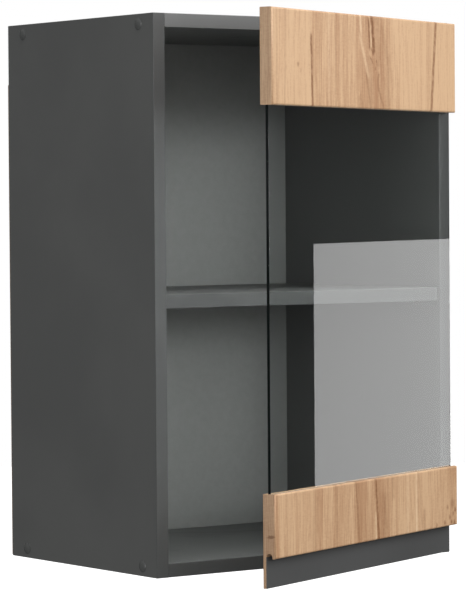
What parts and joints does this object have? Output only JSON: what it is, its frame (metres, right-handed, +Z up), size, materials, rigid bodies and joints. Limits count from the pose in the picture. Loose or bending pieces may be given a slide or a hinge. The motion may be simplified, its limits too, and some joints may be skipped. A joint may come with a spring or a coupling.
{
  "type": "hanging wall cabinet",
  "caption": "Wall-hung storage cabinet: a board carcass with an inner shelf, closed by a side-hinged door of glass held between two wooden rails.",
  "frame": {"origin": "centre of the four wall-plate screw holes, on the plane of the wall", "axes": "+Z up, +Y into the wall, +X to the cabinet's right as seen from the front"},
  "size_m": [0.4884, 0.549, 0.72],
  "materials": {
    "anthracite_board": "anthracite melamine facing, fine matt texture",
    "anthracite_edge": "anthracite ABS edge band, satin",
    "grey_hardboard": "grey lacquered thin fibreboard",
    "oak_decor": "honey craft-oak decor with upright grain, satin",
    "clear_glass": "clear 4 mm tempered glass, polished edges",
    "clear_pvc": "clear soft PVC",
    "grey_cap": "anthracite moulded plastic cap",
    "hanger_plastic": "light grey moulded plastic",
    "cover_plastic": "grey moulded plastic cover",
    "zinc_screw": "bright zinc-plated steel",
    "zinc_plate": "zinc-plated steel sheet",
    "nickel": "nickel-plated steel",
    "beech": "turned beech"
  },
  "bodies": {
    "carcass": {"left_side_panel": "anthracite_board", "right_side_panel": "anthracite_board", "top_panel": "anthracite_board", "bottom_panel": "anthracite_board", "shelf": "anthracite_board", "back_panel": "grey_hardboard", "left_side_edge_band": "anthracite_edge", "right_side_edge_band": "anthracite_edge", "top_edge_band": "anthracite_edge", "bottom_edge_band": "anthracite_edge", "shelf_edge_band": "anthracite_edge", "carcass_screws": "zinc_screw", "screw_cover_caps": "grey_cap", "wooden_dowels": "beech", "shelf_support_pegs": "nickel", "back_panel_nails": "zinc_screw", "upper_hinge_arm": "nickel", "lower_hinge_arm": "nickel", "upper_mounting_plate": "nickel", "lower_mounting_plate": "nickel", "hinge_link_pins": "nickel", "mounting_plate_screws": "zinc_screw", "hinge_arm_screws": "zinc_screw", "left_hanger_housing": "hanger_plastic", "left_hanger_hook": "zinc_plate", "left_hanger_cover": "cover_plastic", "left_hanger_screws": "zinc_screw", "left_wall_plate": "zinc_plate", "right_hanger_housing": "hanger_plastic", "right_hanger_hook": "zinc_plate", "right_hanger_cover": "cover_plastic", "right_hanger_screws": "zinc_screw", "right_wall_plate": "zinc_plate"},
    "door": {"top_rail": "oak_decor", "bottom_rail": "oak_decor", "grip_strip": "anthracite_edge", "glass_pane": "clear_glass", "top_glazing_channel": "clear_pvc", "bottom_glazing_channel": "clear_pvc", "door_bumpers": "clear_pvc", "upper_hinge_cup": "nickel", "lower_hinge_cup": "nickel", "hinge_cup_screws": "zinc_screw"},
    "hinge_links": {"upper_hinge_link": "nickel", "lower_hinge_link": "nickel"}
  },
  "joints": [
    {"name": "door_swing", "type": "hinge", "parent": "carcass", "child": "door", "pos_m": [0.2345, -0.364, 0], "axis": [0, 0, 1], "range_deg": [-22.3, 77.7]},
    {"name": "link_swing", "type": "hinge", "parent": "carcass", "child": "hinge_links", "pos_m": [0.2085, -0.3575, 0], "axis": [0, 0, 1], "range_deg": [-35.5, 10.5]}
  ],
  "couplings": [
    {"joint": "link_swing", "follows": "door_swing", "ratio": -0.45}
  ]
}
